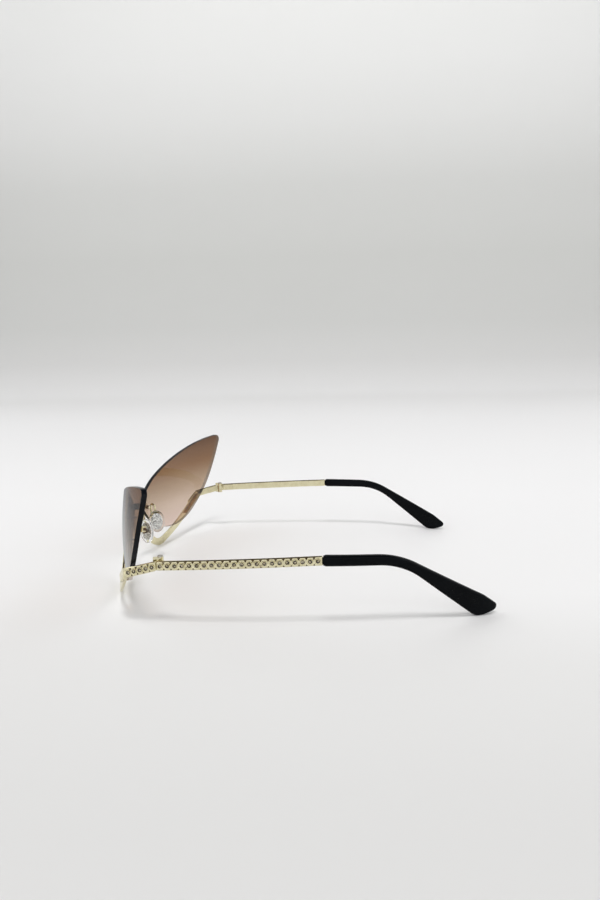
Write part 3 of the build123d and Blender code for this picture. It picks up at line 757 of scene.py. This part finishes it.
# each piece's shape, finish, slot, whether it is smooth, and its sizes; steps say how finely
# it is divided
settingPieces = {
    "cup_rims": (rimShape, paleGold, "pale_gold", True,
                 {"Radius": 0.93 * mm, "Wire": 0.16 * mm, "Steps": 20, "Wire Steps": 8}),
    # the groove rings, cup floors and notch cones are painted shade: dark marks for the shade
    # in the gold strip's recesses
    "cup_groove_shades": (rimShape, paintedRecessShade, "pale_gold", True,
                    {"Radius": 0.74 * mm, "Wire": 0.15 * mm, "Steps": 20, "Wire Steps": 8}),
    "cup_floor_shades": (discShape, paintedRecessShade, "pale_gold", False,
                   {"Radius": 0.84 * mm, "Depth": 0.08 * mm, "Steps": 8}),
    # the bright leaf inside each stone is a painted glint
    "stone_glint_leaves": (discShape, stoneGlintLeaf, "crystal", False,
                     {"Radius": 0.34 * mm, "Depth": 0.08 * mm, "Steps": 8}),
    "stones": (stoneShape, crystal, "crystal", False,
               {"Facets": 8, "Culet": 0.22 * mm, "Girdle": 0.80 * mm, "Table": 0.50 * mm,
                "Pavilion": 0.50 * mm, "Band": 0.05 * mm, "Crown": 0.22 * mm,
                "Sink": -0.47 * mm, "Weld": 0.001 * mm}),
    "upper_notch_shades": (notchShape, paintedRecessShade, "pale_gold", False,
                      {"Size": 0.66 * mm, "Depth": 0.06 * mm, "Steps": 3}),
    "lower_notch_shades": (notchShape, paintedRecessShade, "pale_gold", False,
                      {"Size": 0.46 * mm, "Depth": 0.06 * mm, "Steps": 3}),
    "prongs": (prongShape, paleGold, "pale_gold", True, {"Size": 0.17 * mm, "Steps": 2}),
}

# where they stand: above (lift) or below (drop) the strip's face, and from the stone's middle
settingPlaces = {
    "faceOut": 0.125 * mm, "rimLift": 0.04 * mm, "grooveLift": 0.06 * mm,
    "floorDrop": 0.49 * mm, "leafDrop": 0.22 * mm, "leafAside": 0.16 * mm, "leafTurn": 2.4,
    "notchReach": 1.34 * mm, "prongReach": 1.10 * mm, "prongUp": 0.74,
}


# middles of a node's separate solids, from front to back
def solidMiddles(node):
    work = mergedCopy(node)
    seen, middles = set(), []
    for vert in work.verts:
        if vert in seen:
            continue
        island, stack = [], [vert]
        seen.add(vert)
        while stack:
            here = stack.pop()
            island.append(here.co)
            for edge in here.link_edges:
                other = edge.other_vert(here)
                if other not in seen:
                    seen.add(other)
                    stack.append(other)
        lowest = Vector([min(co[k] for co in island) for k in range(3)])
        highest = Vector([max(co[k] for co in island) for k in range(3)])
        middles.append((lowest + highest) / 2)
    work.free()
    return sorted(middles, key=lambda middle: middle.y)


# places on the strip's outer face, with the face's own directions
def stoneRow(node, sign):
    middles = solidMiddles(node)
    row = []
    for index, middle in enumerate(middles):
        after = middles[min(index + 1, len(middles) - 1)]
        before = middles[max(index - 1, 0)]
        along = (after - before).normalized()
        outward = Vector((sign * abs(along.y), -sign * along.x * (1 if along.y > 0 else -1), 0))
        outward.normalize()
        row.append((middle + outward * settingPlaces["faceOut"], outward, along))
    return row


# adds one row's marks: a place, the way out of the face and the way that the shape points
def markRow(marks, row):
    place = settingPlaces
    prongAlong = math.sqrt(1 - place["prongUp"] ** 2)
    for index, (face, outward, along) in enumerate(row):
        cross = along.cross(outward).normalized()
        cross = cross if cross.z > 0 else -cross
        # the painted glint leaf sits off each stone's middle and turns from stone to stone, so
        # the glints fall at different places
        turn = index * place["leafTurn"]
        aside = (along * math.cos(turn) + cross * math.sin(turn)) * place["leafAside"]
        shifts = {
            "cup_rims": [outward * place["rimLift"]],
            "cup_groove_shades": [outward * place["grooveLift"]],
            "cup_floor_shades": [outward * -place["floorDrop"]],
            "stone_glint_leaves": [aside - outward * place["leafDrop"]],
            "stones": [Vector()],
            "prongs": [(cross * up * place["prongUp"] + along * ahead * prongAlong)
                       * place["prongReach"] for up in (1, -1) for ahead in (1, -1)],
        }
        for name, found in shifts.items():
            marks[name] += [(face + shift, outward, along) for shift in found]
        # painted shade: a dark cone above and below, halfway between stones, for the shade in
        # each struck notch
        if index + 1 < len(row):
            between = (face + row[index + 1][0]) / 2
            for name, up in (("upper_notch_shades", 1), ("lower_notch_shades", -1)):
                marks[name].append((between + cross * up * place["notchReach"], outward,
                                    cross * -up))


# a mesh of bare points that carry the directions of what is set on them
def markPoints(name, marks):
    mesh = bpy.data.meshes.new(name)
    mesh.from_pydata([tuple(place) for place, _, _ in marks], [], [])
    for key, column in (("outward", 1), ("pointing", 2)):
        layer = mesh.attributes.new(key, "FLOAT_VECTOR", "POINT")
        for index, mark in enumerate(marks):
            layer.data[index].vector = mark[column]
    holder = bpy.data.objects.new(name, mesh)
    scene.collection.objects.link(holder)
    return holder


# sets a small shape on every point, turned to the point's own directions
def settingTree(name, shape, material, smooth, sizes):
    tree = bpy.data.node_groups.new(name, "GeometryNodeTree")
    tree.interface.new_socket("Points", in_out="INPUT", socket_type="NodeSocketGeometry")
    for key, value in sizes.items():
        kind = "NodeSocketInt" if isinstance(value, int) else "NodeSocketFloat"
        tree.interface.new_socket(key, in_out="INPUT", socket_type=kind)
    tree.interface.new_socket("Geometry", in_out="OUTPUT", socket_type="NodeSocketGeometry")
    start = addNode(tree, "NodeGroupInput")
    outward, pointing = (
        addNode(tree, "GeometryNodeInputNamedAttribute", {"Name": key},
                data_type="FLOAT_VECTOR").outputs["Attribute"]
        for key in ("outward", "pointing"))
    stand = addNode(tree, "FunctionNodeAlignRotationToVector", {"Vector": outward}, axis="Z")
    turn = addNode(tree, "FunctionNodeAlignRotationToVector", {
        "Rotation": stand.outputs["Rotation"], "Vector": pointing}, axis="X", pivot_axis="Z")
    scatter = addNode(tree, "GeometryNodeInstanceOnPoints", {
        "Points": start.outputs["Points"], "Instance": shape(tree, start),
        "Rotation": turn.outputs["Rotation"]})
    real = addNode(tree, "GeometryNodeRealizeInstances", {0: scatter.outputs[0]})
    shade = addNode(tree, "GeometryNodeSetShadeSmooth", {
        0: real.outputs[0], "Shade Smooth": smooth})
    paint = addNode(tree, "GeometryNodeSetMaterial", {
        0: shade.outputs[0], "Material": material})
    addNode(tree, "NodeGroupOutput", {0: paint.outputs[0]})
    return tree


# runs the tree on the points and keeps the result as a plain mesh on one body
def settle(name, marks, tree, sizes, body):
    holder = markPoints(name + ".points", marks)
    setter = holder.modifiers.new("setting", "NODES")
    setter.node_group = tree
    for item in tree.interface.items_tree:
        if item.in_out == "INPUT" and item.name in sizes:
            setter[item.identifier] = sizes[item.name]
    bpy.context.view_layer.update()
    graph = bpy.context.evaluated_depsgraph_get()
    mesh = bpy.data.meshes.new_from_object(holder.evaluated_get(graph))
    mesh.name = name
    holder.modifiers.remove(setter)
    bpy.data.objects.remove(holder)
    return placeOn(mesh, name, body)


settingTrees = {
    name: settingTree(name, shape, finish, smooth, sizes)
    for name, (shape, finish, _, smooth, sizes) in settingPieces.items()}
stoneNodes = {f"{side}_temple": [f"{side}_temple_stones"] for side in sides}
stoneNodes["front"] = [f"{side}_endpiece_stones" for side in sides]
for body, nodes in stoneNodes.items():
    marks = {name: [] for name in settingPieces}
    for node in nodes:
        markRow(marks, stoneRow(node, sides[node.split("_")[0]]))
    for name, (_, _, slotName, _, sizes) in settingPieces.items():
        piece = settle(f"{body}.{name}", marks[name], settingTrees[name], sizes, body)
        if name == "stones":
            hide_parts(*nodes)
print("stones set")


# nose pads: clear pillows with a bright leaf inside and a short metal stem behind it

padShape = {
    "fill": 0.985, "halfThick": 1.25 * mm, "power": 2.6, "rings": 10, "around": 40,
    "smoothAngle": 60.0,
    # the leaf, as shares of the pad's own half sizes
    "leafShare": (0.74, 0.74, 0.20), "leafBehind": 0.15 * mm, "leafPower": 3.2,
    "leafRings": 5, "leafAround": 20, "leafSmoothAngle": 40.0,
    "stemRadius": 0.9 * mm, "stemEndRadius": 0.72 * mm, "stemLength": 2.2 * mm,
    "stemBehind": 1.1 * mm, "stemAround": 16,
}


# middle and long, middle and short directions of a flat oval of points
def mainAxes(points):
    middle = sum(points, Vector()) / len(points)
    spreads = [[sum((p - middle)[i] * (p - middle)[j] for p in points) for j in range(3)]
               for i in range(3)]
    _, vectors = np.linalg.eigh(np.array(spreads))
    short, mid, long = (Vector(vectors[:, k]) for k in range(3))
    return middle, long, mid, short


def pillow(work, middle, directions, half, power, rings, around):
    long, wide, thick = (axis * reach for axis, reach in zip(directions, half))
    edge = None
    for upper in (1, -1):
        rows = []
        for ring in range(rings + 1):
            if ring == rings and edge:
                rows.append(edge)
                continue
            share = math.sin(math.pi / 2 * ring / rings)
            height = upper * (1 - share ** power) ** (1 / power)
            angles = [2 * math.pi * step / around for step in range(around if ring else 1)]
            rows.append([work.verts.new(
                middle + long * share * math.cos(angle) + wide * share * math.sin(angle)
                + thick * height) for angle in angles])
        edge = rows[-1]
        for inner, outer in zip(rows, rows[1:]):
            for step in range(around):
                after = (step + 1) % around
                ends = [inner[0]] if len(inner) == 1 else [inner[step], inner[after]]
                work.faces.new(ends + [outer[after], outer[step]])
    bmesh.ops.recalc_face_normals(work, faces=work.faces)


def buildPad(side, sign):
    node = f"{side}_nose_pad"
    shape = padShape
    work = mergedCopy(node)
    points = [vert.co.copy() for vert in work.verts]
    work.free()
    middle, long, mid, short = mainAxes(points)
    if short.x * sign > 0:  # the short direction points at the nose
        short = -short
    half = [max(abs((p - middle).dot(axis)) for p in points) for axis in (long, mid)]
    depth = max((p - middle).dot(short) for p in points)
    centre = middle + short * (depth - shape["halfThick"])
    directions = (long, mid, short)
    pads = bmesh.new()
    pillow(pads, centre, directions,
           (half[0] * shape["fill"], half[1] * shape["fill"], shape["halfThick"]),
           shape["power"], shape["rings"], shape["around"])
    pad = pieceFrom(pads, f"{side}_nose_pad.look", [clearPad], f"{side}_pad",
                    shape["smoothAngle"])
    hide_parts(node)
    cores = bmesh.new()
    leaf = [reach * share for reach, share in zip((*half, shape["halfThick"]),
                                                  shape["leafShare"])]
    pillow(cores, centre - short * shape["leafBehind"], directions, leaf,
           shape["leafPower"], shape["leafRings"], shape["leafAround"])
    stem = bmesh.ops.create_cone(
        cores, cap_ends=True, segments=shape["stemAround"], radius1=shape["stemRadius"],
        radius2=shape["stemEndRadius"], depth=shape["stemLength"])
    turned = short.to_track_quat("Z", "Y").to_matrix().to_4x4()
    bmesh.ops.transform(cores, verts=stem["verts"], matrix=Matrix.Translation(
        centre - short * shape["stemBehind"]) @ turned)
    for face in {face for vert in stem["verts"] for face in vert.link_faces}:
        face.material_index = 1
    bmesh.ops.recalc_face_normals(cores, faces=cores.faces)
    pieceFrom(cores, f"{side}_pad_core", [padGlintFoil, darkMetal], f"{side}_pad",
              shape["leafSmoothAngle"])


for side, sign in sides.items():
    buildPad(side, sign)
print("nose pads built")

# finishes for the nodes that keep their own solids
keptNodes = {"lens_washers": clearWasher, "left_lens_bond": bondAmber,
             "right_lens_bond": bondAmber, "left_pad_screw": darkMetal,
             "right_pad_screw": darkMetal}
for node, material in keptNodes.items():
    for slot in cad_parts[node].material_slots:
        slot.material = material


# studio: a pale sheet that sweeps up behind, a soft world and three lamps

studio = {
    "sheetWidth": 6.0, "front": 1.2, "bend": -1.05, "bendRadius": 0.55, "wall": 2.6,
    "steps": 24, "paperIndex": 1.35, "paperScale": 3.0, "roughness": (0.38, 0.50),
    # painted light and shade on the sheet: darker towards the camera and lowest on the wall
    # just above the bend, lighter round the frame and higher up, by how far back and up a place
    # lies between two limits in metres
    "paperSpan": (-0.6, 3.4),
    "sheetLightAndShade": [(0.107, (0.715, 0.715, 0.705)), (0.125, (0.780, 0.780, 0.770)),
              (0.140, (0.866, 0.866, 0.863)), (0.185, (0.905, 0.905, 0.905)),
              (0.310, (0.883, 0.883, 0.883)), (0.441, (0.815, 0.815, 0.810)),
              (0.504, (0.670, 0.670, 0.658)), (0.560, (0.612, 0.616, 0.598)),
              (0.640, (0.588, 0.592, 0.570)), (0.700, (0.633, 0.635, 0.615)),
              (0.744, (0.725, 0.725, 0.708)), (0.784, (0.785, 0.785, 0.768)),
              (0.818, (0.815, 0.815, 0.796))],
    # what the room sends from low to overhead: walls, high windows, a dark ceiling
    "room": [(0.00, (0.70, 0.71, 0.72)), (0.45, (0.98, 0.98, 1.00)), (0.72, (0.90, 0.90, 0.92)),
             (0.80, (0.06, 0.045, 0.04))],
    "worldLevel": 1.08,
    # place, size, power and whether metal mirrors it
    "lamps": [((-0.2, 1.2, 1.1), 1.0, 3.0, True), ((-0.3, -1.2, 1.0), 1.0, 3.0, True),
              ((0.60, 0.05, 2.45), 0.5, 23.6, False)],
}


def shadedStudioSheet():
    material, tree = newMaterial("shadedStudioSheet")
    place = axes(tree)
    # painted light and shade: the sheet's colour changes with how far back and up a place lies
    sweep = span(tree, reckon(tree, "SUBTRACT", place["Z"], place["X"]), *studio["paperSpan"])
    fibre = grain(tree, studio["paperScale"])
    finishWith(tree, addNode(tree, "ShaderNodeBsdfPrincipled", {
        "IOR": studio["paperIndex"], "Base Color": ramp(tree, sweep, studio["sheetLightAndShade"]),
        "Roughness": spread(tree, fibre, studio["roughness"])}))
    return material


def buildSheet():
    radius = studio["bendRadius"]
    points = [(studio["front"], 0.0), (studio["bend"], 0.0)]
    for step in range(1, studio["steps"] + 1):
        angle = math.pi / 2 * step / studio["steps"]
        points.append((studio["bend"] - radius * math.sin(angle),
                       radius * (1 - math.cos(angle))))
    points.append((studio["bend"] - radius, studio["wall"]))
    half = studio["sheetWidth"] / 2
    work = bmesh.new()
    rows = [[work.verts.new((x, y, z)) for y in (-half, half)] for x, z in points]
    for a, b in zip(rows, rows[1:]):
        work.faces.new([a[0], a[1], b[1], b[0]])
    bmesh.ops.recalc_face_normals(work, faces=work.faces)
    mesh = bpy.data.meshes.new("studioSheet")
    work.to_mesh(mesh)
    work.free()
    mesh.shade_smooth()
    mesh.materials.append(shadedStudioSheet())
    sheet = bpy.data.objects.new("studioSheet", mesh)
    scene.collection.objects.link(sheet)


def buildWorld():
    world = bpy.data.worlds.new("softRoom")
    world.use_nodes = True
    tree = world.node_tree
    tree.nodes.clear()
    height = span(tree, axes(tree, "Generated")["Z"], 0.0, 1.0)
    light = addNode(tree, "ShaderNodeBackground", {
        "Color": ramp(tree, height, studio["room"]), "Strength": studio["worldLevel"]})
    addNode(tree, "ShaderNodeOutputWorld", {"Surface": light.outputs[0]})
    scene.world = world


def buildLamp(name, place, size, power, mirrored):
    data = bpy.data.lights.new(name, "AREA")
    data.size = size
    data.energy = power
    lamp = bpy.data.objects.new(name, data)
    lamp.location = place
    lamp.visible_glossy = mirrored
    lamp.rotation_euler = (-Vector(place)).to_track_quat("-Z", "Y").to_euler()
    scene.collection.objects.link(lamp)


buildSheet()
buildWorld()
for number, lamp in enumerate(studio["lamps"]):
    buildLamp(f"sideLamp{number}", *lamp)


# camera, at the photograph's place and angle

cameraView = {"place": (0.29546, 0.01772, 0.10885), "yaw": 2.905, "pitch": 9.499,
              "roll": -1.159, "lens": 24.01, "sensor": 36.0, "nearest": 0.01, "farthest": 20.0}


def buildCamera():
    yaw, pitch, roll = (math.radians(cameraView[key]) for key in ("yaw", "pitch", "roll"))
    ahead = Vector((-math.cos(yaw) * math.cos(pitch), -math.sin(yaw) * math.cos(pitch),
                    -math.sin(pitch)))
    level = Vector((-math.sin(yaw), math.cos(yaw), 0))
    above = level.cross(ahead)
    right = math.cos(roll) * level + math.sin(roll) * above
    up = -math.sin(roll) * level + math.cos(roll) * above
    data = bpy.data.cameras.new("camera")
    data.sensor_fit = "VERTICAL"
    data.sensor_height = cameraView["sensor"]
    data.lens = cameraView["lens"]
    data.clip_start = cameraView["nearest"]
    data.clip_end = cameraView["farthest"]
    camera = bpy.data.objects.new("camera", data)
    turn = Matrix((right, up, -ahead)).transposed().to_4x4()
    camera.matrix_world = Matrix.Translation(cameraView["place"]) @ turn
    scene.collection.objects.link(camera)
    scene.camera = camera


buildCamera()
print("studio and camera ready")
